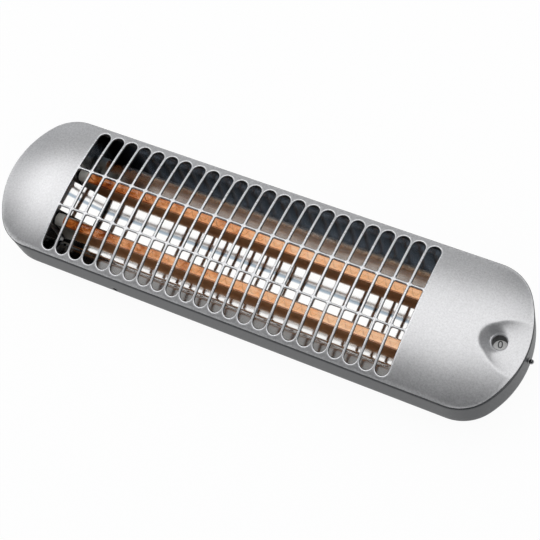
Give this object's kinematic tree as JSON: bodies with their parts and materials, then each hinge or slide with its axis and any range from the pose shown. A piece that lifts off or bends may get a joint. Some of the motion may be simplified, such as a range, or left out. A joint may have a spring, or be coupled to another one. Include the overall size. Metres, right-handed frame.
{
  "type": "electric bar heater",
  "caption": "Wall-mounted electric bar heater: domed metal casing with rounded ends, barred grille over quartz lamps, mirror reflector and pull-switch bead.",
  "frame": {"origin": "centre of the flat back of the casing, where it meets the wall", "axes": "+X along the heater towards the end with the switch window, +Y up when it hangs on the wall, +Z out of the wall"},
  "size_m": [0.5694, 0.148, 0.06],
  "materials": {
    "cover": "silver metallic paint, satin with a fine grain",
    "tray": "dark grey paint, satin",
    "mirror": "polished bright",
    "steel": "zinc plated",
    "clip": "blackened spring steel",
    "brass": "plain",
    "ceramic": "unglazed white",
    "quartz": "amber coated tube",
    "coil": "oxidised heating wire",
    "gasket": "matt black",
    "black_plastic": "glossy black",
    "switch_plastic": "moulded brown-black",
    "cream_plastic": "moulded cream",
    "disc": "light grey, matt",
    "sleeve_white": "woven glass sleeve",
    "sleeve_brown": "brown insulation",
    "sleeve_green": "green-yellow insulation"
  },
  "bodies": {
    "casing": {"front_cover": "cover", "edge_gasket": "gasket", "back_tray": "tray", "window_sleeve": "tray", "cover_screws": "steel", "reflector": "mirror", "reflector_end_left": "mirror", "reflector_end_right": "mirror", "mount_rail_left": "steel", "mount_rail_right": "steel", "lamp_bracket_left": "steel", "lamp_bracket_right": "steel", "bracket_screws": "steel", "cap_clips": "clip", "end_cap_upper_left": "ceramic", "end_cap_upper_right": "ceramic", "end_cap_lower_left": "ceramic", "end_cap_lower_right": "ceramic", "quartz_tube_upper": "quartz", "quartz_tube_lower": "quartz", "filament_upper": "coil", "filament_lower": "coil", "contact_pins": "steel", "thermal_cutout": "steel", "terminal_block": "cream_plastic", "terminal_screws": "brass", "earth_stud": "brass", "earth_nut": "brass", "cable_grommet": "gasket", "switch_case": "switch_plastic", "switch_lid": "switch_plastic", "switch_contacts": "brass", "switch_screws": "steel", "detent_spring": "steel", "pivot_pin": "steel", "return_spring": "steel", "pull_bush": "black_plastic", "lead_left_upper": "sleeve_white", "lead_left_lower": "sleeve_white", "lead_right_upper": "sleeve_white", "lead_right_lower": "sleeve_white", "lead_cutout": "sleeve_brown", "lead_switch": "sleeve_brown", "earth_lead": "sleeve_green"},
    "pull": {"pull_rod": "steel", "pull_bead": "black_plastic"},
    "lever": {"pull_lever": "brass"},
    "wheel": {"spindle": "steel", "switch_cam": "cream_plastic", "ratchet_wheel": "brass", "indicator_disc": "disc"}
  },
  "joints": [
    {"name": "pull_slide", "type": "slide", "parent": "casing", "child": "pull", "axis": [1, 0, 0], "range_m": [0, 0.008], "stiffness_N_per_m": 400, "deforming": ["return_spring"]},
    {"name": "lever_pivot", "type": "hinge", "parent": "casing", "child": "lever", "pos_m": [0.255, 0.017, 0.0259], "axis": [0, 0, 1], "range_deg": [0, 25.2]},
    {"name": "wheel_turn", "type": "hinge", "parent": "casing", "child": "wheel", "pos_m": [0.2415, 0, 0.03], "axis": [0, 0, 1], "continuous": true}
  ],
  "couplings": [
    {"joint": "lever_pivot", "follows": "pull_slide", "rad_per_m": 54.9}
  ]
}
